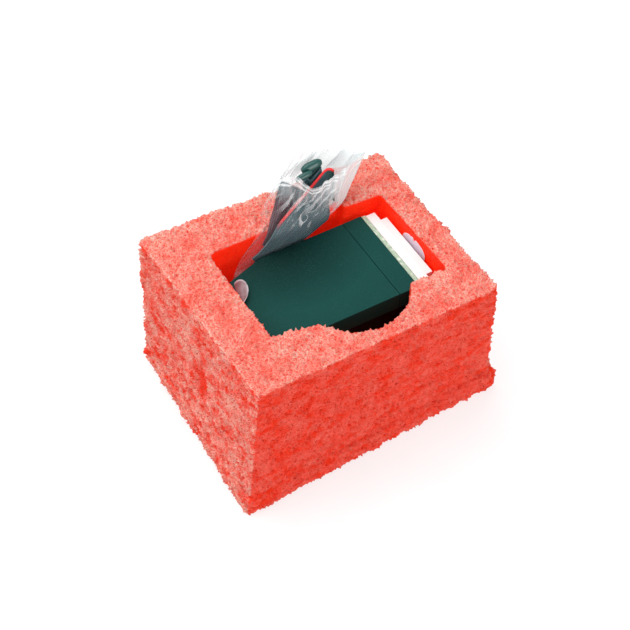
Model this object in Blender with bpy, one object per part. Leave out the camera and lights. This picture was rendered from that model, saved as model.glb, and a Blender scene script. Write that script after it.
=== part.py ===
"""Packed foam block: an expanded-polyethylene packing block with a pocket, the electronic module that lies in
the pocket on a film lifting strap, and the press-seal bag with a folded ribbon cable that stands behind it.

Metres, +Z up. The origin is the centre of the block's underside, and X runs along the block's long side.
Lengths below are written in millimetres and turned into metres by the builders. The module's pieces are drawn
in the module's own frame, whose origin is the middle of its top face, and its empty then turns and places them.
The bag's pieces are drawn flat and upright, in a frame that runs along the folded cable, and bend_back() then
leans whatever stands above the rim of the pocket.
"""

import math

import bmesh
import bpy
from mathutils import Matrix, Vector

MM = 0.001
GAP = 0.3                       # left between pieces that touch

# Foam
BASE_Z = (0.0, 10.0)            # laminated base sheet
BLOCK_Z = (10.3, 76.1)          # block above it
BASE_CORNERS = ((-70.3, -55.3), (70.3, -48.3), (67.0, 50.6), (-64.7, 51.3))
BLOCK_LOW_CORNERS = ((-69.0, -54.6), (66.7, -46.6), (65.4, 50.0), (-64.3, 51.8))
BLOCK_TOP_CORNERS = ((-62.9, -52.0), (61.6, -52.2), (63.4, 49.6), (-62.4, 55.3))
NOTCH_CENTRE = (5.5, -18.9)     # finger notch: a round cut into the pocket's front wall
NOTCH_RADIUS = 26.0
NOTCH_STEPS = 20
FRONT_WALL_Y = -29.3
POCKET_LEFT = ((-40.6, -25.6),)
POCKET_REST = ((48.8, -30.3), (48.8, 24.9), (29.8, 26.1), (28.9, 31.3), (-37.0, 31.3), (-39.6, 30.6))
PLUG_TOP = 41.0                 # top of the cut-out plug that floors the pocket

# Module
MODULE_TOP = (0.0, -1.7, 68.3)  # middle of the case's top face
MODULE_YAW = -1.5               # degrees, about Z
MODULE_TILT = -1.5              # degrees, about Y: the connector end lies a little high
CASE_H = 24.0
CASE_HALF_W = 25.4
TAIL_HALF_W = 19.0
TAIL_X, TAPER_X, SEAM_X, CASE_END_X = -38.0, -18.0, 26.0, 36.0
WALL = 1.5
SPIGOT = 3.0                    # tongue of the collar inside the body
BOARD_T = 2.0                   # end board
FLANGE_X = (38.6, 43.3)
MATE_X = 46.8
MATE_Y = (-20.0, 19.6)
MATE_Z = (-18.0, -1.0)
SLOT_H = 3.2                    # each of the connector's two slots
SLOT_Z = (-6.4, -12.8)          # slot middles
CONTACTS = 16
CONTACT_PITCH = 2.0
MAIN_BOARD_Z = (-14.6, -13.0)
SPACERS = ((-12.0, 17.5), (-12.0, -17.5), (18.0, 17.5), (18.0, -17.5))

# Lifting strap
STRAP_Y = (-5.0, 11.0)
STRAP_T = 0.3

# Bag and ribbon cable
BAG_Y = 27.9                    # middle of the bag inside the pocket
RIM_Z = 76.1
LEAN = math.tan(math.radians(25.0))
BAG_WALL = 0.5
BAG_OUTLINE = ((-31.0, 47.0), (-10.0, 43.6), (12.0, 49.0), (19.0, 66.0), (26.0, 74.5), (30.0, 77.2),
               (37.0, 81.0), (47.0, 95.0), (44.0, 100.5), (25.0, 105.0), (11.0, 104.5), (0.0, 98.5),
               (-14.5, 78.5), (-26.5, 66.0))
# Height and depth where each film starts to swell, and where it is full
BAG_FRONT = ((77.0, -3.0), (83.0, -5.2))
BAG_BACK = ((76.6, 3.0), (78.0, 8.4))
BAG_MOUTH = 5.0                 # how far the bag's open lips reach past the seal, along the cable
CABLE_ORIGIN = (-18.1, 53.8)    # foot of the folded cable, in X and Z
CABLE_ANGLE = 40.0              # degrees above X
CABLE_W = 19.5
CABLE_T = 0.9
SOCKET_HALF_W = 10.9
SOCKET_T = 4.6


# ---------------------------------------------------------------- helpers

def clear_scene():
    for obj in list(bpy.data.objects):
        bpy.data.objects.remove(obj, do_unlink=True)


def material(name, colour, roughness, metallic=0.0):
    mat = bpy.data.materials.new(name)
    mat.use_nodes = True
    shader = mat.node_tree.nodes["Principled BSDF"]
    shader.inputs["Base Color"].default_value = (*colour, 1.0)
    shader.inputs["Roughness"].default_value = roughness
    shader.inputs["Metallic"].default_value = metallic
    return mat


def finish(bm, name, mat, parent=None):
    """Turns a bmesh drawn in millimetres into a closed object in metres."""
    bmesh.ops.recalc_face_normals(bm, faces=bm.faces)
    bmesh.ops.scale(bm, vec=(MM, MM, MM), verts=bm.verts)
    mesh = bpy.data.meshes.new(name)
    bm.to_mesh(mesh)
    bm.free()
    obj = bpy.data.objects.new(name, mesh)
    bpy.context.scene.collection.objects.link(obj)
    if mat is not None:
        mesh.materials.append(mat)
    obj.parent = parent
    return obj


def add_prism(bm, outline, low, high, place=lambda x, y, z: (x, y, z)):
    """Adds a prism: an outline in two axes, run from low to high along the third; place puts it in space."""
    bottom = [bm.verts.new(place(x, y, low)) for x, y in outline]
    top = [bm.verts.new(place(x, y, high)) for x, y in outline]
    bm.faces.new(bottom)
    bm.faces.new(top)
    count = len(outline)
    for i in range(count):
        j = (i + 1) % count
        bm.faces.new((bottom[i], bottom[j], top[j], top[i]))


def prism(name, outline, low, high, mat, parent=None):
    bm = bmesh.new()
    add_prism(bm, outline, low, high)
    return finish(bm, name, mat, parent)


def along_x(x, y, z):
    """Places a prism whose outline is in Y and Z, and which runs along X."""
    return (z, x, y)


def along_y(x, y, z):
    """Places a prism whose outline is in X and Z, and which runs along Y."""
    return (x, z, y)


def rectangle(low_a, high_a, low_b, high_b):
    return ((low_a, low_b), (high_a, low_b), (high_a, high_b), (low_a, high_b))


def box(name, xs, ys, zs, mat, parent=None):
    return prism(name, rectangle(*xs, *ys), *zs, mat, parent)


def cylinder(name, centre, radii, zs, mat, parent=None, sides=20):
    """A cylinder or cone along Z: radii are those of its lower and its upper end."""
    bm = bmesh.new()
    height = zs[1] - zs[0]
    where = Matrix.Translation((*centre, (zs[0] + zs[1]) / 2))
    bmesh.ops.create_cone(bm, cap_ends=True, segments=sides, radius1=radii[0], radius2=radii[1],
                          depth=height, matrix=where)
    return finish(bm, name, mat, parent)


def boolean(target, tool, operation):
    tool.hide_render = True
    tool.display_type = "WIRE"
    mod = target.modifiers.new(f"{operation}_{tool.name}", "BOOLEAN")
    mod.operation = operation
    mod.solver = "EXACT"
    mod.object = tool


def inset(outline, distance):
    """The outline moved inwards by distance; it runs anticlockwise."""
    count = len(outline)
    moved = []
    for i in range(count):
        before, here, after = (Vector(outline[(i + k) % count]) for k in (-1, 0, 1))
        u = (here - before).normalized()
        v = (after - here).normalized()
        n1, n2 = Vector((-u.y, u.x)), Vector((-v.y, v.x))
        moved.append(tuple(here + (n1 + n2) * (distance / (1.0 + n1.dot(n2)))))
    return moved


# ---------------------------------------------------------------- foam

def pocket_outline():
    """The pocket with its finger notch, seen from above, anticlockwise."""
    drop = NOTCH_CENTRE[1] - FRONT_WALL_Y
    start = math.asin(drop / NOTCH_RADIUS)
    notch = []
    for i in range(NOTCH_STEPS + 1):
        angle = math.pi + start + (math.pi - 2 * start) * i / NOTCH_STEPS
        notch.append((NOTCH_CENTRE[0] + NOTCH_RADIUS * math.cos(angle),
                      NOTCH_CENTRE[1] + NOTCH_RADIUS * math.sin(angle)))
    return [*POCKET_LEFT, *notch, *POCKET_REST]


def foam_pieces(foam):
    prism("foam_base", BASE_CORNERS, *BASE_Z, foam)
    bm = bmesh.new()
    low = [bm.verts.new((x, y, BLOCK_Z[0])) for x, y in BLOCK_LOW_CORNERS]
    top = [bm.verts.new((x, y, BLOCK_Z[1])) for x, y in BLOCK_TOP_CORNERS]
    bm.faces.new(low)
    bm.faces.new(top)
    for i in range(4):
        j = (i + 1) % 4
        bm.faces.new((low[i], low[j], top[j], top[i]))
    bmesh.ops.triangulate(bm, faces=bm.faces)
    block = finish(bm, "foam_block", foam)
    outline = pocket_outline()
    boolean(block, prism("pocket_cutter", outline, BLOCK_Z[0] - 5, BLOCK_Z[1] + 5, None), "DIFFERENCE")
    prism("foam_floor_plug", inset(outline, GAP), BLOCK_Z[0], PLUG_TOP, foam)


# ---------------------------------------------------------------- module

def case_outline(end_x, distance=0.0):
    """The case seen from above, with its tapered tail, moved inwards by distance except at its open end."""
    slope = (CASE_HALF_W - TAIL_HALF_W) / (TAPER_X - TAIL_X)
    half, tail = CASE_HALF_W - distance, TAIL_HALF_W - distance * (1.0 - slope)
    return ((TAIL_X + distance, -tail), (TAPER_X, -half), (end_x, -half), (end_x, half), (TAPER_X, half),
            (TAIL_X + distance, tail))


def case_pieces(mats, module):
    body = prism("case_body", case_outline(SEAM_X), -CASE_H, 0.0, mats["case"], module)
    hollow = prism("case_hollow", case_outline(SEAM_X + 5, WALL), -CASE_H + WALL, -WALL, None, module)
    boolean(body, hollow, "DIFFERENCE")
    for i, (x, y) in enumerate(SPACERS, 1):
        sink = cylinder(f"sink_cutter_{i}", (x, y), (3.1, 1.6), (-CASE_H - 0.2, -CASE_H + WALL + 0.2), None,
                        module)
        boolean(body, sink, "DIFFERENCE")
        head = (-CASE_H + 0.05, -CASE_H + WALL)
        screw = cylinder(f"case_screw_{i}", (x, y), (2.6, 1.1), head, mats["steel"], module)
        shank = cylinder(f"shank_{i}", (x, y), (1.1, 1.1), (-CASE_H + 0.4, -CASE_H + 6.5), None, module, 12)
        boolean(screw, shank, "UNION")
        between = (-CASE_H + WALL + GAP, MAIN_BOARD_Z[0] - GAP)
        spacer = cylinder(f"board_spacer_{i}", (x, y), (2.9, 2.9), between, mats["brass"], module, 6)
        thread = cylinder(f"thread_{i}", (x, y), (1.45, 1.45), (-CASE_H, MAIN_BOARD_Z[0]), None, module, 12)
        boolean(spacer, thread, "DIFFERENCE")


def ring(name, xs, outer_half, outer_zs, wall, mat, parent):
    """A rectangular tube along X."""
    bm = bmesh.new()
    low, high = outer_zs
    add_prism(bm, rectangle(-outer_half, outer_half, low, high), *xs, along_x)
    tube = finish(bm, name, mat, parent)
    bm = bmesh.new()
    inner = rectangle(-outer_half + wall, outer_half - wall, low + wall, high - wall)
    add_prism(bm, inner, xs[0] - 2, xs[1] + 2, along_x)
    boolean(tube, finish(bm, f"{name}_hollow", None, parent), "DIFFERENCE")
    return tube


def collar_piece(mats, module):
    collar = ring("case_collar", (SEAM_X + GAP, CASE_END_X), CASE_HALF_W, (-CASE_H, 0.0), WALL, mats["case"],
                  module)
    inner = WALL + GAP
    spigot = ring("spigot", (SEAM_X - SPIGOT, SEAM_X + 2), CASE_HALF_W - inner, (-CASE_H + inner, -inner),
                  1.0, None, module)
    bridge = ring("spigot_root", (SEAM_X + GAP + 0.4, SEAM_X + 2.4), CASE_HALF_W - 0.5, (-CASE_H + 0.5, -0.5),
                  2.3, None, module)
    boolean(collar, bridge, "UNION")
    boolean(collar, spigot, "UNION")


def connector_pieces(mats, module):
    board_x = (CASE_END_X + GAP, CASE_END_X + GAP + BOARD_T)
    box("end_board", board_x, (-25.2, 25.2), (-CASE_H + 0.3, -0.3), mats["board"], module)
    flange_x = (board_x[1] + GAP, FLANGE_X[1])
    housing = box("connector_housing", flange_x, (-24.4, 24.9), (-CASE_H + 1.5, -0.6), mats["housing"],
                  module)
    mate = box("mate_block", (FLANGE_X[1] - 1.0, MATE_X), MATE_Y, MATE_Z, None, module)
    boolean(housing, mate, "UNION")
    middle = (MATE_Y[0] + MATE_Y[1]) / 2
    half_slot = CONTACTS * CONTACT_PITCH / 2 + 0.8
    half_pin = 0.3
    for label, slot_z in zip(("upper", "lower"), SLOT_Z):
        slot = box(f"slot_{label}", (flange_x[0] + 1.6, MATE_X + 2), (middle - half_slot, middle + half_slot),
                   (slot_z - SLOT_H / 2, slot_z + SLOT_H / 2), None, module)
        boolean(housing, slot, "DIFFERENCE")
        row = box(f"contact_row_{label}", (flange_x[0] + 1.9, flange_x[0] + 2.7),
                  (middle - half_slot + 0.4, middle + half_slot - 0.4), (slot_z - 0.9, slot_z + 0.9),
                  mats["gold"], module)
        bm = bmesh.new()
        for i in range(CONTACTS):
            y = middle + (i - (CONTACTS - 1) / 2) * CONTACT_PITCH
            add_prism(bm, rectangle(y - half_pin, y + half_pin, slot_z - half_pin, slot_z + half_pin),
                      flange_x[0] + 2.3, MATE_X - 0.8, along_x)
        boolean(row, finish(bm, f"pins_{label}", None, module), "UNION")


def board_pieces(mats, module):
    low, top = MAIN_BOARD_Z
    box("main_board", (-17.0, 31.0), (-22.3, 22.3), MAIN_BOARD_Z, mats["board"], module)
    header = ((31.3, low - 3.0), (CASE_END_X, low - 3.0), (CASE_END_X, top + 3.0), (28.0, top + 3.0),
              (28.0, top + GAP), (31.3, top + GAP))
    bm = bmesh.new()
    add_prism(bm, header, -20.0, 20.0, along_y)
    finish(bm, "board_header", mats["black"], module)
    chips = {"processor_chip": ((-4.0, 10.0), (-7.0, 7.0), 1.8),
             "memory_chip": ((15.0, 23.0), (-6.0, 6.0), 1.4),
             "driver_chip": ((-14.0, -8.0), (-5.0, 5.0), 1.6)}
    for name, (xs, ys, height) in chips.items():
        box(name, xs, ys, (top + GAP, top + GAP + height), mats["black"], module)
    for i, y in enumerate((-15.0, 15.0), 1):
        cylinder(f"capacitor_{i}", (6.0, y), (4.0, 4.0), (top + GAP, top + 9.5), mats["steel"], module)


def strap_piece(mats, module):
    """A film strap that runs up the tail, under the case and up past the connector."""
    under = -CASE_H - GAP - STRAP_T / 2
    tail = TAIL_X - GAP - STRAP_T / 2
    nose = MATE_X + GAP + STRAP_T / 2
    bend = 0.35
    route = ((-29.8, 3.4), (-33.5, 3.2), (-36.9, 2.3), (tail - 0.1, 0.6), (tail, -2.0), (tail, under + bend),
             (tail + bend, under), (nose - bend, under), (nose, under + bend), (nose, 1.5), (nose - 0.3, 4.6))
    bm = bmesh.new()
    add_prism(bm, band(route, STRAP_T), *STRAP_Y, along_y)
    finish(bm, "lift_strap", mats["film"], module)


def band(route, thickness):
    """The outline of a band of even thickness along an open route in two axes."""
    points = [Vector(p) for p in route]
    left, right = [], []
    for i, p in enumerate(points):
        before = points[max(i - 1, 0)]
        after = points[min(i + 1, len(points) - 1)]
        u = (p - before).normalized() if i else (after - p).normalized()
        v = (after - p).normalized() if i < len(points) - 1 else u
        n = Vector((-u.y - v.y, u.x + v.x)) / (1.0 + u.dot(v))
        left.append(tuple(p + n * thickness / 2))
        right.append(tuple(p - n * thickness / 2))
    return left + right[::-1]


# ---------------------------------------------------------------- bag and cable

def cut_level(bm, height):
    """Adds an edge loop at a height."""
    geometry = bm.verts[:] + bm.edges[:] + bm.faces[:]
    bmesh.ops.bisect_plane(bm, geom=geometry, plane_co=(0, 0, height), plane_no=(0, 0, 1))


def bend_back(bm):
    """Leans what stands above the pocket's rim back over the foam. The bmesh is in millimetres."""
    cut_level(bm, RIM_Z)
    for v in bm.verts:
        v.co.y += BAG_Y + LEAN * max(0.0, v.co.z - RIM_Z)


def on_cable(along, out, across):
    """From the cable's frame (along it, out of its face, across it) to the flat bag's X, Y and Z."""
    angle = math.radians(CABLE_ANGLE)
    x = CABLE_ORIGIN[0] + along * math.cos(angle) + across * math.sin(angle)
    z = CABLE_ORIGIN[1] + along * math.sin(angle) - across * math.cos(angle)
    return (x, out, z)


def swell(z, flat, full):
    """Depth of one side of the bag at a height: flat in the pocket, fuller above the rim."""
    share = min(1.0, max(0.0, (z - flat[0]) / (full[0] - flat[0])))
    return (1.0 - share) * flat[1] + share * full[1]


def bag_solid(outline, inward):
    bm = bmesh.new()
    add_prism(bm, outline, -1.0, 1.0, along_y)
    for height, _ in BAG_FRONT + BAG_BACK:
        cut_level(bm, height)
    for v in bm.verts:
        if v.co.y < 0:
            v.co.y = swell(v.co.z, *BAG_FRONT) + inward
        else:
            v.co.y = swell(v.co.z, *BAG_BACK) - inward
    bend_back(bm)
    bmesh.ops.triangulate(bm, faces=bm.faces)
    return bm


def bag_piece(mats):
    bag = finish(bag_solid(BAG_OUTLINE, 0.0), "bag_film", mats["film"])
    inner = inset(BAG_OUTLINE, BAG_WALL)
    angle = math.radians(CABLE_ANGLE)
    push = Vector((math.cos(angle), math.sin(angle))) * BAG_MOUTH
    first, last = 8, 10                      # the outline's points along the mouth
    for i in range(first, last + 1):
        inner[i] = tuple(Vector(inner[i]) + push)
    boolean(bag, finish(bag_solid(inner, BAG_WALL), "bag_hollow", None), "DIFFERENCE")


def arc(centre, radius, start, end, steps):
    return [(centre[0] + radius * math.cos(math.radians(start + (end - start) * i / steps)),
             centre[1] + radius * math.sin(math.radians(start + (end - start) * i / steps)))
            for i in range(steps + 1)]


def cable_route():
    """The folded cable seen along its width: up the front, over, down the middle and up the back."""
    return [(6.0, 0.0), (9.5, 0.0), (13.0, -1.3), (18.0, -1.6), (50.0, -1.6), (55.0, -3.2),
            *arc((59.5, -1.5), 2.0, -90, 90, 8),
            (55.0, 0.2), (50.0, 0.0), (20.0, -0.1),
            *arc((18.2, 0.7), 0.8, 270, 90, 6),
            (20.0, 1.5), (47.5, 1.5), (50.6, 4.0), (53.5, 4.3)]


def cable_block(name, along, out, half_t, half_w, mat):
    """A box in the cable's frame, leaned back with the cable."""
    bm = bmesh.new()
    add_prism(bm, rectangle(*along, out - half_t, out + half_t), -half_w, half_w, on_cable)
    bend_back(bm)
    return finish(bm, name, mat)


def cable_pieces(mats):
    bm = bmesh.new()
    add_prism(bm, band(cable_route(), CABLE_T), -CABLE_W / 2, CABLE_W / 2, on_cable)
    bend_back(bm)
    finish(bm, "ribbon_cable", mats["cable"])
    sockets = {"a": ((0.0, 5.6), (5.9, 8.4), 0.0), "b": ((53.9, 59.5), (51.1, 53.6), 4.3)}
    for label, (body, cover, out) in sockets.items():
        cable_block(f"cable_socket_{label}", body, out, SOCKET_T / 2, SOCKET_HALF_W, mats["black"])
        clamp = cable_block(f"socket_cover_{label}", cover, out, SOCKET_T / 2, SOCKET_HALF_W, mats["black"])
        throat = (cover[0] - 1.0, cover[1] + 1.0)
        boolean(clamp, cable_block(f"throat_{label}", throat, out, CABLE_T / 2 + GAP, CABLE_W / 2 + GAP,
                                   None), "DIFFERENCE")


def build():
    clear_scene()
    mats = {
        "foam": material("foam", (0.86, 0.16, 0.13), 0.75),
        "case": material("case", (0.03, 0.12, 0.11), 0.42),
        "board": material("board", (0.42, 0.55, 0.38), 0.5),
        "housing": material("housing", (0.9, 0.9, 0.88), 0.4),
        "gold": material("gold", (0.83, 0.64, 0.25), 0.25, 1.0),
        "brass": material("brass", (0.72, 0.55, 0.25), 0.35, 1.0),
        "steel": material("steel", (0.7, 0.7, 0.72), 0.3, 1.0),
        "black": material("black", (0.03, 0.03, 0.035), 0.5),
        "film": material("film", (0.86, 0.88, 0.9), 0.15),
        "cable": material("cable", (0.45, 0.52, 0.54), 0.45),
    }
    foam_pieces(mats["foam"])
    module = bpy.data.objects.new("module", None)
    bpy.context.scene.collection.objects.link(module)
    module.location = Vector(MODULE_TOP) * MM
    module.rotation_euler = (0.0, math.radians(MODULE_TILT), math.radians(MODULE_YAW))
    case_pieces(mats, module)
    collar_piece(mats, module)
    connector_pieces(mats, module)
    board_pieces(mats, module)
    strap_piece(mats, module)
    bag_piece(mats)
    cable_pieces(mats)


build()
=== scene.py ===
"""The looks of a red packing-foam block that holds a connector module and a bagged ribbon cable.

Lengths are in metres unless a comment says mm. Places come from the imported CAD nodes, or repeat the model's
driving dimensions.
"""

import itertools
import math

import bmesh
import bpy
import numpy as np
from mathutils import Matrix, Vector


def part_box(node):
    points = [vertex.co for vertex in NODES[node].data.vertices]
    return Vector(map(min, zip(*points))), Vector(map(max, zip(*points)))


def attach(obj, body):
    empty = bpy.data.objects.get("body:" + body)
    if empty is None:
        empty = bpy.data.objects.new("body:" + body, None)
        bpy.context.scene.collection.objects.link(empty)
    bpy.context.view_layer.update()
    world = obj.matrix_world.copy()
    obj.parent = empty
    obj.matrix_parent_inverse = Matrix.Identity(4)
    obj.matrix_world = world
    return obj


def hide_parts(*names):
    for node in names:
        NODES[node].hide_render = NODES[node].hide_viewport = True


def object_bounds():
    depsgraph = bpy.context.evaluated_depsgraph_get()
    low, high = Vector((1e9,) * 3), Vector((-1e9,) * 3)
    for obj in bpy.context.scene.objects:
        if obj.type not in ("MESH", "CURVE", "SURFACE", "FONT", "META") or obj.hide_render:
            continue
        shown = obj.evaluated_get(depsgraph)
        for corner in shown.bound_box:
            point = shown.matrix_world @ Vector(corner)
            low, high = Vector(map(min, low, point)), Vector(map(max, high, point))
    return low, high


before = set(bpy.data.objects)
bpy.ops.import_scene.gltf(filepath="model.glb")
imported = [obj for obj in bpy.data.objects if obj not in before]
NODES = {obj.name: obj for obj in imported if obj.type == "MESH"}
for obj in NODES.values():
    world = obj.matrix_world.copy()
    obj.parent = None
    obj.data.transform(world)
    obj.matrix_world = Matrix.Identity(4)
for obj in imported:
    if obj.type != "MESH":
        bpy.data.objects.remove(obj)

CAD_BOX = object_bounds()
MM = 0.001


# ---------------------------------------------------------------- camera and light

CAMERA_PLACE = Vector((-0.3218, -0.4907, 0.6911))
CAMERA_AZIMUTH = math.radians(-33.12)     # 0 looks along +Y
CAMERA_ELEVATION = math.radians(47.85)
CAMERA_ROLL = math.radians(1.96)
CAMERA_LENS_MM = 107.83                   # on a 36 mm sensor


def make_camera():
    data = bpy.data.cameras.new("camera")
    data.lens = CAMERA_LENS_MM
    data.sensor_width = 36.0
    data.clip_start, data.clip_end = 0.05, 10.0
    camera = bpy.data.objects.new("camera", data)
    bpy.context.scene.collection.objects.link(camera)
    turn = Matrix.Rotation(CAMERA_AZIMUTH, 4, "Z") @ Matrix.Rotation(math.pi / 2 - CAMERA_ELEVATION, 4, "X")
    camera.matrix_world = Matrix.Translation(CAMERA_PLACE) @ turn @ Matrix.Rotation(CAMERA_ROLL, 4, "Z")
    bpy.context.scene.camera = camera


def area_light(name, place, aim, size, watts):
    data = bpy.data.lights.new(name, "AREA")
    data.shape = "RECTANGLE"
    data.size, data.size_y = size
    data.energy = watts
    light = bpy.data.objects.new(name, data)
    bpy.context.scene.collection.objects.link(light)
    light.location = place
    light.rotation_mode = "QUATERNION"
    light.rotation_quaternion = (Vector(aim) - Vector(place)).to_track_quat("-Z", "Y")


def make_light():
    world = bpy.data.worlds.new("studio")
    world.use_nodes = True
    background = world.node_tree.nodes["Background"]
    background.inputs["Color"].default_value = (1.0, 1.0, 1.0, 1.0)
    background.inputs["Strength"].default_value = 0.70
    scene = bpy.context.scene
    scene.world = world
    scene.view_settings.view_transform = "Standard"
    area_light("overhead", (-0.25, 0.45, 1.3), (0, 0, 0.03), (1.3, 1.0), 12.0)
    area_light("left_fill", (-1.2, 0.1, 0.7), (0, 0, 0.03), (0.8, 0.8), 4.0)
    area_light("front_fill", (0.35, -1.3, 0.35), (0, 0, 0.04), (0.8, 0.5), 5.5)


# ---------------------------------------------------------------- material helpers

class Shader:
    """A node material under construction."""

    def __init__(self, name):
        self.material = bpy.data.materials.new(name)
        self.material.use_nodes = True
        self.tree = self.material.node_tree
        self.surface = self.tree.nodes["Principled BSDF"]

    def node(self, kind, settings=None, **inputs):
        """Adds a node; inputs are values or output sockets, named with _ for a space."""
        made = self.tree.nodes.new(kind)
        for key, value in (settings or {}).items():
            setattr(made, key, value)
        for key, value in inputs.items():
            self.put(made, key.replace("_", " "), value)
        return made

    def put(self, made, key, value):
        """Sets or links one input, found by its name, or by its number where key is in0, in1 and so on."""
        socket = made.inputs[int(key[2:]) if key.startswith("in") and key[2:].isdigit() else key]
        if isinstance(value, bpy.types.NodeSocket):
            self.tree.links.new(value, socket)
        else:
            socket.default_value = value

    def set(self, **inputs):
        """Sets or links inputs of the Principled BSDF."""
        for key, value in inputs.items():
            self.put(self.surface, key.replace("_", " "), value)

    def coordinates(self, scale=(1, 1, 1)):
        source = self.node("ShaderNodeTexCoord").outputs["Object"]
        return self.node("ShaderNodeMapping", Vector=source, Scale=scale).outputs["Vector"]

    def noise(self, vector, scale, detail=3.0, roughness=0.55):
        made = self.node("ShaderNodeTexNoise", Vector=vector, Scale=scale, Detail=detail, Roughness=roughness)
        return made.outputs["Fac"]

    def ramp(self, fac, *stops):
        """A colour ramp; each stop is a position and a colour or a grey."""
        made = self.node("ShaderNodeValToRGB", Fac=fac)
        elements = made.color_ramp.elements
        while len(elements) < len(stops):
            elements.new(0.5)
        for element, (position, colour) in zip(elements, stops):
            element.position = position
            grey = isinstance(colour, (int, float))
            element.color = (colour, colour, colour, 1.0) if grey else (*colour, 1.0)
        return made.outputs["Color"]

    def mix(self, fac, a, b):
        """The colour a where fac is 0, and b where it is 1."""
        made = self.node("ShaderNodeMix", {"data_type": "RGBA", "blend_type": "MIX", "clamp_factor": True})
        for key, value in ((0, fac), (6, a), (7, b)):
            if isinstance(value, tuple):
                value = (*value, 1.0)
            self.put(made, f"in{key}", value)
        return made.outputs[2]

    def math(self, operation, a, b=0.0):
        made = self.node("ShaderNodeMath", {"operation": operation})
        self.put(made, "in0", a)
        self.put(made, "in1", b)
        return made.outputs[0]

    def bump(self, height, distance, strength):
        made = self.node("ShaderNodeBump", Height=height, Distance=distance, Strength=strength)
        return made.outputs["Normal"]

    def attribute(self, name):
        return self.node("ShaderNodeAttribute", {"attribute_name": name}).outputs["Fac"]


# ---------------------------------------------------------------- floor

def floor_material():
    shader = Shader("floor_paper")
    vector = shader.coordinates()
    grain = shader.noise(vector, 40.0)
    colour = shader.ramp(grain, (0.3, 0.33), (0.7, 0.35))
    shader.set(Base_Color=colour, Roughness=0.9, Normal=shader.bump(shader.noise(vector, 900.0), 0.0001, 0.2))
    shader.set(Emission_Color=(1.0, 1.0, 1.0, 1.0), Emission_Strength=0.68, Specular_IOR_Level=0.1)
    return shader.material


def make_floor():
    bm = bmesh.new()
    bmesh.ops.create_grid(bm, x_segments=1, y_segments=1, size=6.0)
    floor = object_from(bm, "floor", floor_material())
    floor.location.z = CAD_BOX[0].z - 0.0003


# ---------------------------------------------------------------- mesh helpers

def object_from(bm, name, material):
    mesh = bpy.data.meshes.new(name)
    bm.to_mesh(mesh)
    bm.free()
    return object_with(mesh, name, material)


def object_with(mesh, name, material, smooth=True):
    """Links a new object with that mesh, shaded smooth unless told otherwise."""
    if smooth:
        mesh.shade_smooth()
    mesh.materials.clear()
    mesh.materials.append(material)
    made = bpy.data.objects.new(name, mesh)
    bpy.context.scene.collection.objects.link(made)
    return made


def points_of(mesh, attribute="co"):
    """A mesh's points, or with "normal" its normals, as rows of numbers."""
    flat = np.zeros(len(mesh.vertices) * 3, np.float32)
    mesh.vertices.foreach_get(attribute, flat)
    return flat.reshape(-1, 3).astype(float)


def set_points(mesh, points):
    mesh.vertices.foreach_set("co", points.astype(np.float32).ravel())
    mesh.update()


def set_attribute(mesh, name, values):
    attribute = mesh.attributes.new(name, "FLOAT", "POINT")
    attribute.data.foreach_set("value", np.asarray(values, np.float32))


def smoothstep(x, low, high):
    """0 up to low, 1 from high, and a smooth rise between them."""
    t = np.clip((x - low) / (high - low), 0.0, 1.0)
    return t * t * (3.0 - 2.0 * t)


def hash_cells(cells, seed):
    """Repeatable random numbers from 0 to 1 for rows of whole numbers."""
    h = np.uint32((seed * 2654435761) & 0xFFFFFFFF)
    for column, factor in enumerate((73856093, 19349663, 83492791)):
        h = h ^ (cells[:, column].astype(np.uint32) * np.uint32(factor))
    for shift, factor in ((16, 0x7FEB352D), (15, 0x846CA68B)):
        h = (h ^ (h >> np.uint32(shift))) * np.uint32(factor)
    return ((h ^ (h >> np.uint32(16))) & np.uint32(0xFFFFFF)) / float(0xFFFFFF)


def value_noise(points, size, seed):
    """Smooth noise from -1 to 1 whose lumps are about size across."""
    scaled = points / size + 1000.0
    base = np.floor(scaled).astype(np.int64)
    t = scaled - base
    t = t * t * (3.0 - 2.0 * t)
    total = np.zeros(len(points))
    for corner in range(8):
        step = np.array([corner & 1, corner >> 1 & 1, corner >> 2 & 1])
        weight = np.prod(np.where(step, t, 1.0 - t), axis=1)
        total += weight * hash_cells(base + step, seed)
    return 2.0 * total - 1.0


def foam_cells(points, size, seed):
    """Cells round the jittered points of a lattice.

    Returns the distances to the nearest and the next centre, and the nearest cell's random number.
    """
    scaled = points / size + 1000.0
    base = np.floor(scaled).astype(np.int64)
    near = np.full(len(points), 9.0)
    next_near = np.full(len(points), 9.0)
    chance = np.zeros(len(points))
    for step in itertools.product((-1, 0, 1), repeat=3):
        cell = base + np.array(step)
        centre = cell + np.stack([hash_cells(cell, seed + k) for k in range(3)], axis=1)
        distance = np.linalg.norm(scaled - centre, axis=1)
        closer = distance < near
        next_near = np.where(closer, near, np.minimum(next_near, distance))
        chance = np.where(closer, hash_cells(cell, seed + 3), chance)
        near = np.where(closer, distance, near)
    return near, next_near, chance


# ---------------------------------------------------------------- foam

FOAM_VOXEL = 0.00078
FOAM_ROUNDS = 6                                  # smoothing passes that soften the cut edges
FOAM_GRAIN = 560.0                               # fine cells to the metre
CELL_SIZE = np.array([0.0023, 0.0023, 0.0017])   # big cells, flatter than wide
RIM_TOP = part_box("foam_block")[1].z
NOTCH_MIDDLE = (0.0055, -0.0189)
NOTCH_RADIUS = 0.026
NOTCH_FROM_Y = -0.025                            # the notch is in front of this

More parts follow.
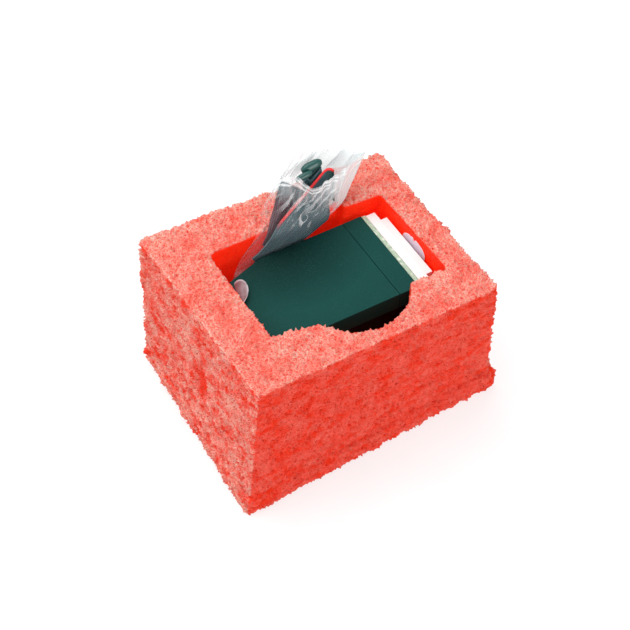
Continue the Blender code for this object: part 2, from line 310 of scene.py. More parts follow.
# Middle and reach of each hollow in mm, and its depth; a negative depth is a bump.
FOAM_GOUGES = (
    ((-66, -5, 40), (5, 8, 14), 2.2),
    ((-63, -32, 33), (5, 6, 8), 1.8),
    ((-66, 48, 8), (5, 3, 4), -2.4),
    ((-67, 30, 5), (5, 4, 4), -1.6),
    ((-68, 8, 4), (5, 4, 4), -1.4),
    ((66, 0, 38), (5, 9, 12), -1.5),
)


def foam_source(nodes):
    """One mesh of the CAD nodes, the upper one grown down a little so that they fuse."""
    bm = bmesh.new()
    for node in nodes:
        start = len(bm.verts)
        bm.from_mesh(NODES[node].data)
        bm.verts.ensure_lookup_table()
        added = bm.verts[start:]
        foot = min(v.co.z for v in added)
        for v in added:
            if node == "foam_block" and v.co.z < foot + MM * 0.1:
                v.co.z -= MM
    return bm


def remeshed(nodes):
    """A dense even mesh of some CAD nodes, with its edges a little rounded."""
    mesh = bpy.data.meshes.new("remesh_source")
    bm = foam_source(nodes)
    bm.to_mesh(mesh)
    bm.free()
    source = bpy.data.objects.new("remesh_source", mesh)
    bpy.context.scene.collection.objects.link(source)
    remesh = source.modifiers.new("remesh", "REMESH")
    remesh.mode = "VOXEL"
    remesh.voxel_size = FOAM_VOXEL
    soften = source.modifiers.new("soften", "SMOOTH")
    soften.factor = 0.5
    soften.iterations = FOAM_ROUNDS
    graph = bpy.context.evaluated_depsgraph_get()
    made = bpy.data.meshes.new_from_object(source.evaluated_get(graph))
    bpy.data.objects.remove(source)
    return made


def beyond_pocket(points):
    """How far outside the pocket's outline each point is, seen from above."""
    low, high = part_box("foam_floor_plug")
    middle, half = (np.array(low) + high)[:2] / 2, (np.array(high) - low)[:2] / 2
    return (np.abs(points[:, :2] - middle) - half).max(axis=1)


def pocket_share(points):
    """1 on the pocket's walls, 0 on the block's outside."""
    return 1.0 - smoothstep(beyond_pocket(points), 0.001, 0.004)


def facing(share):
    """1 where a surface faces one way, from that part of its normals."""
    return smoothstep(share, 0.3, 0.8)


def near_openings(points):
    """1 at the rim of the pocket and of the finger notch."""
    from_notch = np.hypot(points[:, 0] - NOTCH_MIDDLE[0], points[:, 1] - NOTCH_MIDDLE[1]) - NOTCH_RADIUS
    in_front = np.where(points[:, 1] < NOTCH_FROM_Y, from_notch, 1.0)
    by_notch = 1.0 - smoothstep(in_front, 0.0, 0.007)
    by_pocket = 1.0 - smoothstep(beyond_pocket(points), 0.0, 0.005)
    return np.maximum(by_notch, by_pocket)


def foam_bleach(points, normals):
    """How pale the foam is, from 0 in the pocket to 1: fuzzy on top, streaked on the left, red in front. The
    fuzz is partly real, but the faces differ mostly by painted light: paler on top and on the left, where the
    light falls, and red in front, in shade.
    """
    up, left, front = normals[:, 2], -normals[:, 0], -normals[:, 1]
    up = up * smoothstep(points[:, 2], 0.020, 0.040)
    # painted light: the left face is painted paler, where the light falls, and the front redder, in shade
    side = 0.125 * facing(front) + 0.46 * facing(left) + 0.22 * facing(-front) + 0.26 * facing(-left)
    # painted highlight: the top is paler near its back and right edges, where the fuzz catches the light
    lit_far_edges = np.maximum(smoothstep(points[:, 1], 0.044, 0.054), smoothstep(points[:, 0], 0.057, 0.066))
    fuzz = 0.48 + 0.07 * near_openings(points) + 0.16 * lit_far_edges
    torn = np.clip(foam_gouges(points) / 0.0012, 0.0, 1.0)
    return (fuzz * facing(up) + side * (1.0 - pocket_share(points))) * (1.0 - 0.9 * torn)


def foam_painted_glow(points, normals):
    """A painted glow on the thin walls round the pocket, standing for light that soaks through them; the
    notch in front stays dark.
    """
    upright = np.abs(normals[:, 2]) < 0.6
    behind = smoothstep(points[:, 1], -0.031, -0.024)
    return pocket_share(points) * upright * behind * smoothstep(points[:, 2], 0.040, 0.060)


def foam_gouges(points):
    """Two torn hollows in the left face, bumps along its foot, and one bump on the right face."""
    depth = np.zeros(len(points))
    for place, size, deep in FOAM_GOUGES:
        away = np.linalg.norm((points - np.array(place) * MM) / (np.array(size) * MM), axis=1)
        depth += deep * MM * (1.0 - smoothstep(away, 0.2, 1.0))
    return depth


def foam_relief(points, normals):
    """How far the cut surface stands proud of the even mesh."""
    warp = np.stack([value_noise(points, 0.004, 40 + k) for k in range(3)], axis=1)
    near, next_near, chance = foam_cells(points + 0.0008 * warp, CELL_SIZE, 7)
    wall = 1.0 - smoothstep(next_near - near, 0.05, 0.45)
    ragged = hash_cells(np.round(points / 0.0004).astype(np.int64), 91)
    cells = 0.0005 * wall * (0.3 + ragged) - 0.0009 * (0.2 + 0.8 * chance) * (1.0 - wall)
    cells += 0.0003 * wall * ragged ** 3 + 0.00048 * smoothstep(ragged, 0.78, 0.98)
    lumps = 0.0006 * value_noise(points, 0.011, 11) + 0.0005 * value_noise(points, 0.0045, 12)
    lumps -= foam_gouges(points)
    calm = 1.0 - 0.75 * pocket_share(points) * (np.abs(normals[:, 2]) < 0.6)
    return (cells + lumps) * calm, wall


def foam_piece(nodes, name, material):
    mesh = remeshed(nodes)
    points, normals = points_of(mesh), points_of(mesh, "normal")
    height, wall = foam_relief(points, normals)
    set_attribute(mesh, "wall", wall)
    # this paleness attribute carries pale fuzz and painted light
    set_attribute(mesh, "bleach", foam_bleach(points, normals))
    # the pocket attribute carries the painted glow on the pocket's walls
    set_attribute(mesh, "pocket", foam_painted_glow(points, normals))
    # top: how much a surface faces up; the hollows' painted shade is lighter there
    set_attribute(mesh, "top", facing(normals[:, 2]))
    points = points + normals * height[:, None]
    points[:, 2] = np.maximum(points[:, 2], 0.0)
    set_points(mesh, points)
    piece = object_with(mesh, name, material)
    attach(piece, "foam")
    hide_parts(*nodes)


def foam_material():
    """Red expanded foam: deep red cell hollows, darkened with painted shade and darker on the sides than on
    top; pale torn walls, partly pale of themselves and partly painted highlights where they catch the light,
    with painted glints; and redder patches.
    """
    shader = Shader("foam_red")
    place = shader.coordinates(scale=(1.0, 1.0, 1.9))
    wobble = shader.node("ShaderNodeTexNoise", Vector=place, Scale=420.0, Detail=2.0).outputs["Color"]
    vector = shader.node("ShaderNodeVectorMath", {"operation": "MULTIPLY_ADD"}, in0=wobble,
                         in1=(0.0014, 0.0014, 0.0014), in2=place).outputs[0]
    to_edge = {"feature": "DISTANCE_TO_EDGE"}
    edge = shader.node("ShaderNodeTexVoronoi", to_edge, Vector=vector, Scale=FOAM_GRAIN).outputs["Distance"]
    cell = shader.node("ShaderNodeTexVoronoi", Vector=vector, Scale=FOAM_GRAIN).outputs["Color"]
    walls = shader.ramp(edge, (0.0, 1.0), (0.17, 0.0))
    wall, bleach, pocket, top = map(shader.attribute, ("wall", "bleach", "pocket", "top"))
    patch = shader.ramp(shader.noise(place, 120.0, 5.0, 0.65), (0.38, 0.05), (0.58, 1.15))
    patch = shader.mix(top, patch, shader.ramp(patch, (0.0, 0.50), (1.0, 1.0)))
    # painted glints: sparse pale flecks where torn walls catch the light
    painted_glint = shader.ramp(shader.noise(place, 1300.0, 2.0, 0.7), (0.46, 0.0), (0.60, 1.0))
    # lit: pale cell walls, partly pale of themselves and partly painted highlight, with the painted glints
    lit = shader.math("ADD", shader.math("MULTIPLY", walls, 0.75), shader.math("MULTIPLY", wall, 0.40))
    lit = shader.math("ADD", lit, shader.math("MULTIPLY", painted_glint, 0.75))
    lit = shader.math("ADD", lit, shader.math("MULTIPLY", cell, 0.15))
    share = shader.math("MULTIPLY", shader.math("MULTIPLY", bleach, patch), lit)
    # painted glow: on the pocket's walls the hollows stay lighter
    raised = shader.math("ADD", lit, shader.math("MULTIPLY", pocket, 0.6))
    # painted shade: the cell hollows are darker, partly deeper red foam and partly shade
    hollow = shader.ramp(raised, (0.05, 1.0), (0.55, 0.0))
    # painted light: the hollows are darker on the sides than on top
    deep = shader.mix(top, (0.46, 0.002, 0.001), (0.80, 0.012, 0.005))
    red = shader.mix(hollow, (1.0, 0.032, 0.004), deep)
    shader.set(Base_Color=shader.mix(share, red, (1.0, 0.62, 0.51)))
    height = shader.math("ADD", walls, shader.math("MULTIPLY", painted_glint, 0.6))
    shader.set(Roughness=0.42, Specular_IOR_Level=0.14, Normal=shader.bump(height, 0.0006, 0.6))
    shader.set(Subsurface_Weight=0.25, Subsurface_Radius=(0.0030, 0.0004, 0.0002), Subsurface_Scale=1.0)
    # painted glow: red emission on the pocket's walls, standing for light soaking through the foam
    glow = shader.mix(pocket, (0.0, 0.0, 0.0), (0.85, 0.010, 0.002))
    shader.set(Emission_Color=glow, Emission_Strength=0.38)
    return shader.material


def make_foam():
    material = foam_material()
    foam_piece(["foam_block", "foam_base"], "foam_block_cut", material)
    foam_piece(["foam_floor_plug"], "foam_floor_cut", material)


# ---------------------------------------------------------------- module

CASE_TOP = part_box("case_body")[1].z - 0.0007   # at the middle of the case
SIDE_DARK_BELOW = 0.0085                       # the case is black this far below its top
MODULE_TILT = math.tan(math.radians(1.5))      # its right end lies higher
PAINTED_SHADE_MIDDLE = (-0.004, 0.030, 0.068)              # painted shade on the case is darkest round this point of its top, beside the bag


def add_bevel(obj, width):
    bevel = obj.modifiers.new("soft_edges", "BEVEL")
    bevel.width = width
    bevel.segments = 2
    bevel.limit_method = "ANGLE"
    bevel.angle_limit = math.radians(35)
    bevel.harden_normals = True


def dress(node, material, bevel=0.0):
    """Gives a CAD node its material and softens its edges."""
    obj = NODES[node]
    for slot in obj.material_slots:
        slot.material = material
    if not obj.material_slots:
        obj.data.materials.append(material)
    if bevel:
        add_bevel(obj, bevel)


def case_material():
    """Satin dark green paint, black from a set depth below its top, with painted shade that makes it deepest
    beside the bag.
    """
    shader = Shader("case_green")
    place = shader.coordinates()
    split = shader.node("ShaderNodeSeparateXYZ", Vector=place)
    lean = shader.math("MULTIPLY", split.outputs["X"], MODULE_TILT)
    height = shader.math("SUBTRACT", split.outputs["Z"], lean)
    depth = shader.math("SUBTRACT", CASE_TOP - SIDE_DARK_BELOW, height)
    below = shader.ramp(shader.math("MULTIPLY", depth, 2000.0), (0.45, 0.0), (0.55, 1.0))
    # painted shade: the green darkens round the point beside the bag
    apart = shader.node("ShaderNodeVectorMath", {"operation": "DISTANCE"}, in0=place, in1=PAINTED_SHADE_MIDDLE)
    out_of_painted_shade = shader.ramp(shader.math("MULTIPLY", apart.outputs["Value"], 20.0), (0.16, 0.0), (0.90, 1.0))
    cloud = shader.noise(place, 28.0, 3.0)
    speck = shader.noise(place, 2600.0, 2.0)
    lit = shader.mix(cloud, (0.003, 0.048, 0.042), (0.009, 0.066, 0.056))
    green = shader.mix(out_of_painted_shade, (0.000, 0.011, 0.010), lit)
    green = shader.mix(shader.ramp(speck, (0.56, 0.0), (0.72, 0.35)), green, (0.03, 0.13, 0.115))
    shader.set(Base_Color=shader.mix(below, green, (0.001, 0.001, 0.001)))
    rub = shader.noise(shader.coordinates(scale=(1.0, 14.0, 1.0)), 160.0, 3.0)
    shader.set(Roughness=shader.ramp(rub, (0.3, 0.46), (0.7, 0.58)), Specular_IOR_Level=0.07)
    shader.set(Normal=shader.bump(speck, 0.00004, 0.35))
    return shader.material


def board_material(name, colour, edge):
    """Glass-fibre board: layered pale edge and solder mask, with pale solder spots."""
    shader = Shader(name)
    place = shader.coordinates()
    layers = shader.noise(shader.coordinates(scale=(6.0, 1.0, 1.0)), 420.0, 4.0, 0.7)
    blobs = shader.node("ShaderNodeTexVoronoi", Vector=place, Scale=300.0).outputs["Distance"]
    base = shader.mix(shader.ramp(layers, (0.4, 0.0), (0.62, 1.0)), colour, edge)
    shader.set(Base_Color=shader.mix(shader.ramp(blobs, (0.16, 0.7), (0.34, 0.0)), base, (0.80, 0.84, 0.76)))
    shader.set(Roughness=0.4, Normal=shader.bump(layers, 0.0002, 0.5))
    return shader.material


def plastic_material(name, colour, roughness):
    """Moulded plastic with a fine grain and faint clouds."""
    shader = Shader(name)
    place = shader.coordinates()
    cloud = shader.noise(place, 60.0, 3.0)
    darker = tuple(0.9 * c for c in colour)
    shader.set(Base_Color=shader.mix(cloud, darker, colour), Roughness=roughness)
    shader.set(Normal=shader.bump(shader.noise(place, 3000.0, 2.0), 0.00005, 0.2))
    return shader.material


def metal_material(name, colour, roughness):
    """Metal with fine rub marks round it."""
    shader = Shader(name)
    rub = shader.noise(shader.coordinates(scale=(1.0, 1.0, 8.0)), 400.0, 3.0)
    shader.set(Base_Color=shader.mix(rub, tuple(0.8 * c for c in colour), colour), Metallic=1.0)
    shader.set(Roughness=shader.ramp(rub, (0.2, roughness * 0.8), (0.8, roughness * 1.3)))
    return shader.material


def make_module():
    case = case_material()
    dress("case_body", case, 0.0005)
    dress("case_collar", case, 0.0005)
    dress("end_board", board_material("board_edge", (0.27, 0.40, 0.29), (0.56, 0.67, 0.50)), 0.0002)
    dress("main_board", board_material("board_green", (0.02, 0.13, 0.06), (0.03, 0.17, 0.08)), 0.0001)
    dress("connector_housing", plastic_material("connector_white", (0.93, 0.93, 0.92), 0.35), 0.0003)
    black = plastic_material("black_plastic", (0.012, 0.012, 0.014), 0.4)
    for node in ("board_header", "processor_chip", "memory_chip", "driver_chip"):
        dress(node, black, 0.0001)
    gold = metal_material("contact_gold", (0.85, 0.62, 0.28), 0.25)
    for node in ("contact_row_upper", "contact_row_lower"):
        dress(node, gold)
    can = metal_material("capacitor_can", (0.72, 0.73, 0.75), 0.3)
    brass = metal_material("spacer_brass", (0.78, 0.58, 0.28), 0.35)
    steel = metal_material("screw_steel", (0.60, 0.60, 0.62), 0.3)
    for i in (1, 2):
        dress(f"capacitor_{i}", can, 0.0003)
    for i in (1, 2, 3, 4):
        dress(f"board_spacer_{i}", brass, 0.0001)
        dress(f"case_screw_{i}", steel, 0.0001)


# ---------------------------------------------------------------- thin shapes

def grid_faces(rows, columns, closed=False):
    """Quads over rows of points; closed joins each row's last point to its first."""
    last = columns if closed else columns - 1
    faces = []
    for r in range(rows - 1):
        for c in range(last):
            d = (c + 1) % columns
            faces.append((r * columns + c, r * columns + d, (r + 1) * columns + d, (r + 1) * columns + c))
    return faces


def catmull(points, count):
    """An even smooth curve through rows of numbers."""
    p = np.asarray(points, float)
    p = np.concatenate([[2 * p[0] - p[1]], p, [2 * p[-1] - p[-2]]])
    t = np.linspace(0, len(p) - 3, count)
    i = np.minimum(t.astype(int), len(p) - 4)
    f = (t - i).reshape(-1, *[1] * (p.ndim - 1))
    a, b, c, d = p[i], p[i + 1], p[i + 2], p[i + 3]
    bend, twist = 2 * a - 5 * b + 4 * c - d, 3 * b - a - 3 * c + d
    return 0.5 * (2 * b + (c - a) * f + bend * f ** 2 + twist * f ** 3)


def even_steps(curve, step):
    """The curve's points, spaced evenly."""
    lengths = np.concatenate([[0], np.cumsum(np.linalg.norm(np.diff(curve, axis=0), axis=1))])
    wanted = np.linspace(0, lengths[-1], max(2, int(lengths[-1] / step) + 1))
    return np.stack([np.interp(wanted, lengths, curve[:, k]) for k in range(curve.shape[1])], axis=1)


def mesh_of(points, faces, name):
    mesh = bpy.data.meshes.new(name)
    mesh.from_pydata([tuple(p) for p in points], [], faces)
    mesh.update()
    return mesh


# ---------------------------------------------------------------- lift strap

STRAP_T = 0.0003
STRAP_TAB = 0.008        # length of the tab's rounded end
STRAP_END = 0.005        # the same at the connector's end
TAB_SHIFT = 0.0078       # how far the tab lies to the back
END_SHIFT = 0.0060       # how far the other end lies to the front


def strap_material():
    """Clear pink film, deeper on the tab and paler at the connector's end, with painted highlights along its
    edges.
    """
    shader = Shader("strap_film")
    place = shader.coordinates()
    sideways = shader.node("ShaderNodeSeparateXYZ", Vector=place).outputs["X"]
    end = shader.ramp(sideways, (0.0, 0.0), (0.01, 1.0))
    mist = shader.ramp(shader.noise(place, 260.0, 4.0), (0.4, 0.0), (0.8, 0.25))
    # painted highlight along the edges and at the tab's tip, with milky mist
    bright = shader.math("ADD", shader.attribute("rim"), mist)
    tint = shader.mix(end, (0.27, 0.13, 0.145), (0.80, 0.68, 0.78))
    shader.set(Base_Color=shader.mix(bright, tint, (0.80, 0.74, 0.78)), Roughness=0.2)
    shader.set(Alpha=shader.ramp(end, (0.0, 0.74), (1.0, 0.94)), Specular_IOR_Level=0.5)
    shader.set(Normal=shader.bump(shader.noise(place, 500.0, 3.0), 0.0003, 0.3))
    return shader.material


def strap_route():
    """The strap's middle line in X and Z: over the case's left end, under it, and up past the connector."""
    low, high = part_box("lift_strap")
    case_low, case_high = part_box("case_body")
    left, right = low.x + STRAP_T / 2, high.x - STRAP_T / 2
    floor = low.z + STRAP_T / 2
    top = case_high.z
    over_case = [(case_low.x + 0.0064, top + 0.0013), (case_low.x + 0.0040, top + 0.0011),
                 (case_low.x + 0.0014, top + 0.0003)]
    down_left = [(left, top - 0.0024), (left, top - 0.010), (left, floor + 0.0006)]
    under_case = [(left + 0.0006, floor), (0.0, floor + 0.0006), (right - 0.0008, floor + 0.0014)]
    up_right = [(right, floor + 0.0022), (right, top - 0.006), (right + 0.0003, top - 0.0004),
                (right + 0.0006, top + 0.0028)]
    return over_case + down_left + under_case + up_right


def rounded(distance, radius):
    """Share of the full width that far from a rounded end."""
    return math.sqrt(max(0.0, 1.0 - (1.0 - min(1.0, distance / radius)) ** 2))


def strap_points(curve, along, across, middle, half):
    """Rows of points across the strap, which is turned at its tab and rippled along its edges."""
    points = []
    for (x, z), s in zip(curve, along):
        width = rounded(s + 0.00008, STRAP_TAB) * rounded(along[-1] - s + 0.00006, STRAP_END)
        turn = 1.0 - float(smoothstep(s, 0.006, 0.026))
        at_end = float(smoothstep(s, along[-1] - 0.022, along[-1] - 0.004))
        y = middle + TAB_SHIFT * turn - END_SHIFT * at_end
        ripple = 0.00025 * math.sin(s * 700.0)
        for a in across:
            reach = half * (1.0 - 0.12 * turn) * width * a
            points.append((x + 0.45 * turn * reach, y + reach, z + ripple * a * a))
    return points


def make_strap():
    low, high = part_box("lift_strap")
    curve = even_steps(catmull(strap_route(), 240), 0.0009)
    along = np.concatenate([[0], np.cumsum(np.linalg.norm(np.diff(curve, axis=0), axis=1))])
    middle, half = (low.y + high.y) / 2, (high.y - low.y) / 2
    across = np.linspace(-1.0, 1.0, 25)
    points = strap_points(curve, along, across, middle, half)
    mesh = mesh_of(points, grid_faces(len(curve), len(across)), "lift_strap_film")
    # painted highlight along the strap's edges and at its tab's tip
    rim = np.tile(smoothstep(np.abs(across), 0.86, 0.99), (len(curve), 1))
    rim = np.maximum(rim, 1.0 - smoothstep(along, 0.0003, 0.0012)[:, None])
    set_attribute(mesh, "rim", rim.ravel())
    strap = object_with(mesh, "lift_strap_film", strap_material())
    thick = strap.modifiers.new("thickness", "SOLIDIFY")
    thick.thickness = STRAP_T * 0.5
    thick.offset = 0.0
    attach(strap, "module")
    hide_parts("lift_strap")


# ---------------------------------------------------------------- bag and ribbon cable

BAG_Y = (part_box("bag_film")[0].y + 0.003) / MM   # middle of the bag inside the pocket, in mm
RIM_MM = RIM_TOP / MM
LEAN = math.tan(math.radians(25.0))              # the bag leans back by this above the rim
RIBBON_FOOT = (-18.0, 74.0)                      # where the front run's red wire starts, in X and Z, in mm
RIBBON_ANGLE = math.radians(27.0)
RIBBON_SLANT = 0.46                              # how far its outer end is drawn back and in
BACK_RUN_FOOT = (-17.0, 70.0)                    # the back run's start, in mm
BACK_RUN_ANGLE = math.radians(50.0)
CURL_RADIUS = 3.8                                # in mm
WIRES = 15
WIRE_PITCH = 1.27                                # in mm


def bag_place(x, z, out):
    """From the bag's flat drawing, in mm, to its place, leaning back over the rim."""
    over = z - RIM_MM
    return np.stack([x, BAG_Y + out + LEAN * (over + np.sqrt(over * over + 2.0)) / 2, z], axis=-1) * MM


def ribbon_place(along, out, across, foot, angle):
    """The same for points of a run of cable from its foot; the run drops 6 mm further at its lower end."""
    x = foot[0] + along * math.cos(angle) + across * math.sin(angle)
    z = foot[1] + along * math.sin(angle) - across * math.cos(angle)
    return bag_place(x, z - 6.0 * (1.0 - smoothstep(along, -1.0, 17.0)), out)


def ribbon_section():
    """Offsets of the flat cable's outline: across it, and out of each face, with a rib for each wire."""
    across = np.linspace(0.0, WIRES * WIRE_PITCH, WIRES * 6 + 1)
    rib = 0.20 + 0.25 * np.abs(np.sin(across / WIRE_PITCH * math.pi)) ** 0.6
    return np.concatenate([across, across[::-1]]), np.concatenate([rib, -rib[::-1]])


def ribbon_strip(path, foot, angle, slant=0.0):
    """A run of flat cable along points (along, out), in mm; slant draws its far edge back and in.

    Returns its points and faces, and for each point how red it is, how much painted shade lies low on it, and
    how much painted shade lies under its curl.
    """
    line = even_steps(catmull(path, 400), 0.7)
    direction = np.gradient(line, axis=0)
    direction /= np.linalg.norm(direction, axis=1)[:, None]
    across, rise = ribbon_section()
    along = line[:, 0:1] - direction[:, 1:2] * rise[None, :]
    out = line[:, 1:2] + direction[:, 0:1] * rise[None, :]
    along = along - slant * across[None, :] * (np.clip(along, 0.0, None) / 50.0) ** 2
    wide = across[None, :] * (1.0 - slant * smoothstep(line[:, 0:1], 38.0, 50.0))
    wide = np.broadcast_to(wide, along.shape)
    points = ribbon_place(along, out, wide, foot, angle).reshape(-1, 3)
    rows, columns = along.shape
    faces = grid_faces(rows, columns, closed=True)
    faces += [tuple(range(columns)), tuple(range((rows - 1) * columns, rows * columns))[::-1]]
    reached = np.broadcast_to(line[:, 0:1], along.shape)
    first_wire = np.broadcast_to(across[None, :], along.shape) < WIRE_PITCH * 0.75
    red = first_wire * smoothstep(reached, 12.0, 19.0)
    # painted shade low on a run, used on the back run
    dusk = 1.0 - smoothstep(reached, 22.0, 31.0)
    # painted shade under the front run's curl
    curled = smoothstep(reached, 46.5, 49.0) * (1.0 - red)
    return points, faces, red.ravel(), dusk.ravel(), curled.ravel()


def ribbon_material():
    """Grey PVC flat cable with a red first wire, painted shade, purple from the red foam's bounce light, low
    on its back run, and painted dark green shade inside its curl.
    """
    shader = Shader("ribbon_pvc")
    place = shader.coordinates()
    cloud = shader.noise(place, 120.0, 3.0)
    grey = shader.mix(cloud, (0.012, 0.055, 0.070), (0.064, 0.130, 0.150))
    # painted shade, purple from the red foam's bounce light, low on the back run
    shaded = shader.mix(shader.attribute("shade"), grey, (0.075, 0.014, 0.030))
    # painted dark green shade inside the curl
    shaded = shader.mix(shader.attribute("inside"), shaded, (0.006, 0.045, 0.042))
    red = shader.attribute("red_wire")
    shader.set(Base_Color=shader.mix(red, shaded, (0.75, 0.012, 0.014)), Roughness=0.38)
    shader.set(Normal=shader.bump(shader.noise(place, 1500.0), 0.00006, 0.3))
    return shader.material


def ribbon_runs():
    """The front run with its curl, the back run, and the loops between them near the top."""
    bends = [math.radians(degrees) for degrees in range(20, 100, 15)]
    curl = [(46.0 + CURL_RADIUS * math.sin(b), -1.8 - CURL_RADIUS * (1.0 - math.cos(b))) for b in bends]
    front = [(-2, -1.2), (4, -1.6), (15, -1.8), (30, -1.8), (42, -1.8), (46.0, -1.8), *curl]
    back = [(6, 0.8), (14, 1.0), (20, 1.6), (26, 2.8), (32, 3.2)]
    loops = [(34.0, 0.0), (34.3, 1.1), (34.8, 2.5), (36.4, 3.3), (38.2, 3.0), (38.6, 1.8), (38.4, 0.6),
             (40.6, 0.4), (45.0, 0.6), (46.6, 1.4), (44.4, 2.4), (40.0, 3.2), (37.6, 3.5)]
    return (ribbon_strip(front, RIBBON_FOOT, RIBBON_ANGLE, RIBBON_SLANT),
            ribbon_strip(back, BACK_RUN_FOOT, BACK_RUN_ANGLE),
            ribbon_strip(loops, RIBBON_FOOT, RIBBON_ANGLE, RIBBON_SLANT))


def make_ribbon():
    points, faces, red, shade, inside, start = [], [], [], [], [], 0
    for run, (run_points, run_faces, run_red, run_dusk, run_curl_shade) in enumerate(ribbon_runs()):
        points.append(run_points)
        faces += [tuple(i + start for i in face) for face in run_faces]
        red.append(run_red * (run == 0))
        shade.append(run_dusk * (run == 1))
        inside.append(run_curl_shade * (run == 0))
        start += len(run_points)
    mesh = mesh_of(np.vstack(points), faces, "ribbon_cable_folded")
    set_attribute(mesh, "red_wire", np.concatenate(red))
    set_attribute(mesh, "shade", np.concatenate(shade))
    set_attribute(mesh, "inside", np.concatenate(inside))
    ribbon = object_with(mesh, "ribbon_cable_folded", ribbon_material())
    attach(ribbon, "bag")
    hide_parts("ribbon_cable")


SETTLED_SIZE = 0.85              # the lower socket and its cover, beside their CAD size
SETTLED_BY = np.array([3.5, 0.0, -4.0]) * MM

# Each lobe's node, its place in the bag's flat drawing (X, Z and out) and its half sizes, in mm.
SOCKET_LOBES = (
    ("cable_socket_b", (19.3, 96.2, 2.0), (5.4, 2.0, 2.3)),
    ("socket_cover_b", (13.0, 95.8, -1.4), (4.4, 1.5, 1.5)),
)


def socket_piece(obj, node):
    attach(obj, "bag")
    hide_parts(node)


def make_lower_socket(material):
    """The socket and its cover at the cable's lower end, settled into the bag's foot."""
    middle = (Vector(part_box("cable_socket_a")[0]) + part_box("socket_cover_a")[1]) / 2
    for node in ("cable_socket_a", "socket_cover_a"):
        mesh = NODES[node].data.copy()
        set_points(mesh, (points_of(mesh) - middle) * SETTLED_SIZE + middle + SETTLED_BY)
        settled = object_with(mesh, node + "_settled", material, smooth=False)
        add_bevel(settled, 0.0006)
        socket_piece(settled, node)


def make_upper_socket(material):
    """The socket and its cover at the cable's upper end, soft dark teal lobes under the film, which also
    stand in for the painted shade in the hollows between the cable's loops.
    """
    for node, (x, z, out), size in SOCKET_LOBES:
        bm = bmesh.new()
        bmesh.ops.create_uvsphere(bm, u_segments=40, v_segments=24, radius=1.0)
        for v in bm.verts:
            v.co = Vector([math.copysign(abs(c) ** 0.75, c) * r * MM for c, r in zip(v.co, size)])
        lobe = object_from(bm, node + "_lobe", material)
        lobe.rotation_euler = (math.radians(-25.0), math.radians(-8.0), 0.0)
        lobe.location = bag_place(np.float64(x), np.float64(z), np.float64(out))
        socket_piece(lobe, node)


def make_sockets():
    # dark teal like the cable in shade; the upper lobes also serve as painted shade
    teal = plastic_material("socket_teal", (0.014, 0.085, 0.075), 0.25)
    make_lower_socket(teal)
    make_upper_socket(teal)


STREAK_ANGLE = math.radians(33.0)
GLINT_SPOT = (9.0, 80.5)       # middle of the painted glints along crease lines of the front film, in X and Z, in mm
SEAL_LINES = (0.945, 0.975)      # heights of the press seal's two ridges, as shares of the bag's height

# Rows from the bag's foot to its lips, each with points from left to right: X, Z and how far the film stands
# out of the bag's plane, in mm.
BAG_FRONT = (((-31, 47, 0), (-20, 45.2, 0), (-10, 44, 0), (2, 46, 0), (12, 49, 0)),
             ((-30.5, 48.5, 0), (-27, 47.6, -2.9), (-10, 45.6, -3.0), (7, 48.4, -2.9), (13, 50.5, 0)),
             ((-26, 66, 0), (-21, 66, -2.9), (-6, 66, -3.0), (8, 67.4, -2.9), (14, 68.5, 0)),
             ((-14, 81, 0), (-4, 79, -2.9), (8, 77.5, -3.0), (19, 76.5, -2.9), (29, 76.3, 0)),
             ((-8.5, 90, 0), (2, 87, -3.8), (13.5, 84, -4.6), (23.4, 85.6, -5.6), (36.5, 83.5, 0)),
             ((1, 97.5, 0), (7.4, 100.2, -5.0), (15, 92.4, -5.6), (28.2, 95.4, -7.0), (47, 94.5, 0)))
BAG_BACK = (((-31, 47, 0), (-20, 45.2, 0), (-10, 44, 0), (2, 46, 0), (12, 49, 0)),
            ((-30.5, 48.5, 0), (-27, 47.6, 2.9), (-10, 45.6, 3.0), (7, 48.4, 2.9), (13, 50.5, 0)),
            ((-26, 66, 0), (-21, 66, 2.9), (-6, 66, 3.0), (8, 67.4, 2.9), (14, 68.5, 0)),
            ((-14, 81, 0), (-4, 79, 3.4), (8, 78, 4.2), (19, 77, 4.0), (29, 76.3, 0)),
            ((-8.5, 90, 0), (2, 89, 5.6), (14, 88, 7.6), (25, 87, 6.4), (36.5, 83.5, 0)),
            ((1, 97.5, 0), (12.4, 101.5, 3.6), (24.5, 100, 4.4), (37.8, 97, 3.0), (47, 94.5, 0)))


def film_material():
    """Clear film: see-through and glossy, whiter where it turns away, a painted reflection, with hazy creases
    that carry painted highlights and glints.
    """
    shader = Shader("bag_clear_film")
    place = shader.coordinates()
    # painted reflection: the film is whiter where it turns away
    turned = shader.node("ShaderNodeLayerWeight", Blend=0.35).outputs["Facing"]
    cloud = shader.ramp(shader.noise(place, 240.0, 4.0), (0.45, 0.0), (0.75, 0.07))
    opacity = shader.math("ADD", shader.math("MULTIPLY", turned, 0.22), cloud)
    opacity = shader.math("ADD", opacity, 0.06)
    # haze also holds painted highlights and glints
    opacity = shader.math("ADD", opacity, shader.attribute("haze"))
    opacity = shader.math("MAXIMUM", opacity, 0.02)
    shader.set(Base_Color=(0.90, 0.94, 0.95, 1.0), Alpha=shader.math("MINIMUM", opacity, 0.96))
    shader.set(Roughness=0.12, Specular_IOR_Level=0.8)
    shader.set(Normal=shader.bump(shader.noise(place, 500.0, 3.0), 0.0003, 0.4))
    return shader.material


def film_noise(seed, *columns):
    """Smooth noise over a film's grid, read at three numbers for each of its points."""
    shape = columns[0].shape
    flat = np.stack([np.broadcast_to(column, shape).ravel() for column in columns], axis=1)
    return value_noise(flat, 1.0, seed).reshape(shape)


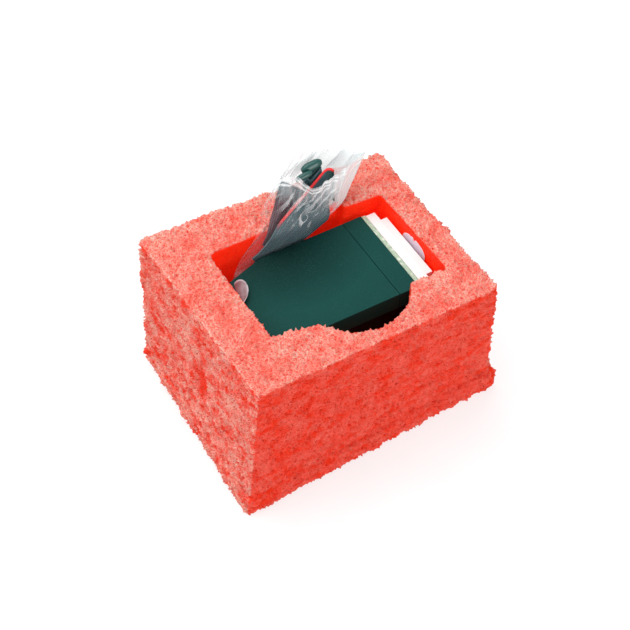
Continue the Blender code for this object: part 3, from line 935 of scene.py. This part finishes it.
def bag_haze_and_glints(x, z, u, v, ridge_glint, side):
    """How white the film is: streaks, a veil at the lips and the press seal, with painted highlights on the
    creases and painted glints over a crumpled spot.
    """
    lengthwise = x * math.cos(STREAK_ANGLE) + z * math.sin(STREAK_ANGLE)
    crosswise = z * math.cos(STREAK_ANGLE) - x * math.sin(STREAK_ANGLE)
    streak = smoothstep(film_noise(80 + side, lengthwise / 16.0, crosswise / 0.9, side * 9.0), 0.16, 0.36)
    crumple = film_noise(90 + side, lengthwise / 2.4, crosswise / 2.4, 5.0 + side)
    # painted glints: white crease lines over a crumpled spot of the front film
    crack = 1.0 - smoothstep(np.abs(crumple), 0.04, 0.14)
    crease_glint = np.exp(-((x - GLINT_SPOT[0]) / 5.5) ** 2 - ((z - GLINT_SPOT[1]) / 4.5) ** 2)
    veil = smoothstep(0.8 * u + 0.7 * v, 0.95, 1.45)
    upper = smoothstep(z + 0.35 * (x - 10.0), 77.0, 93.0)
    above = smoothstep(z, 58.0, 66.0)
    # painted highlights on the fold crests
    haze = 0.10 * ridge_glint + (0.09 + 0.22 * upper) * streak + 0.52 * veil
    haze += 0.03 * upper - 0.21 * (1.0 - upper) * above + 0.12 * (1.0 - above)
    haze += 0.85 * crack * crease_glint * (side == 0)
    for height in SEAL_LINES:
        haze += 0.55 * np.exp(-((v - height) / 0.006) ** 2) * (side == 0)
    return haze


def bag_sheet(net, side):
    """One film of the bag, with long creases that run up it. Returns its points and their haze, which holds
    painted highlights on the creases' crests.
    """
    rows, columns = 150, 110
    tall = catmull(np.asarray(net, float), rows)
    wide = catmull(tall.transpose(1, 0, 2), columns).transpose(1, 0, 2)
    x, z, out = wide[..., 0], wide[..., 1], wide[..., 2]
    u = np.broadcast_to(np.linspace(0, 1, columns)[None, :], x.shape)
    v = np.broadcast_to(np.linspace(0, 1, rows)[:, None], x.shape)
    free = smoothstep(v, 0.35, 0.6) * np.minimum(1.0, 8 * np.minimum(u, 1 - u))
    fold = film_noise(60 + side, u * 24.0, v * 2.2, side * 3.0)
    fine = film_noise(70 + side, u * 24.0 * 2.3, v * 2.2 * 4.0, side * 3.0)
    # painted highlight on the crests of the folds; it only whitens the film
    ridge_glint = free * np.clip(1.0 - np.abs(fold) * 2.0, 0, 1) ** 3
    out = out + free * (0.9 * fold + 0.35 * fine)
    haze = bag_haze_and_glints(x, z, u, v, ridge_glint, side)
    return bag_place(x, z, out).reshape(-1, 3), haze.ravel(), rows, columns


def make_bag():
    points, faces, haze, start = [], [], [], 0
    for side, net in enumerate((BAG_FRONT, BAG_BACK)):
        sheet, mist, rows, columns = bag_sheet(net, side)
        points.append(sheet)
        haze.append(mist)
        added = grid_faces(rows, columns)
        if side:
            added = [face[::-1] for face in added]
        faces += [tuple(i + start for i in face) for face in added]
        start += len(sheet)
    mesh = mesh_of(np.vstack(points), faces, "bag_film_sheets")
    set_attribute(mesh, "haze", np.concatenate(haze))
    bag = object_with(mesh, "bag_film_sheets", film_material())
    thick = bag.modifiers.new("thickness", "SOLIDIFY")
    thick.thickness = 0.00008
    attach(bag, "bag")
    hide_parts("bag_film")


# ---------------------------------------------------------------- assembly

make_camera()
make_light()
make_floor()
make_foam()
make_module()
make_strap()
make_ribbon()
make_sockets()
make_bag()
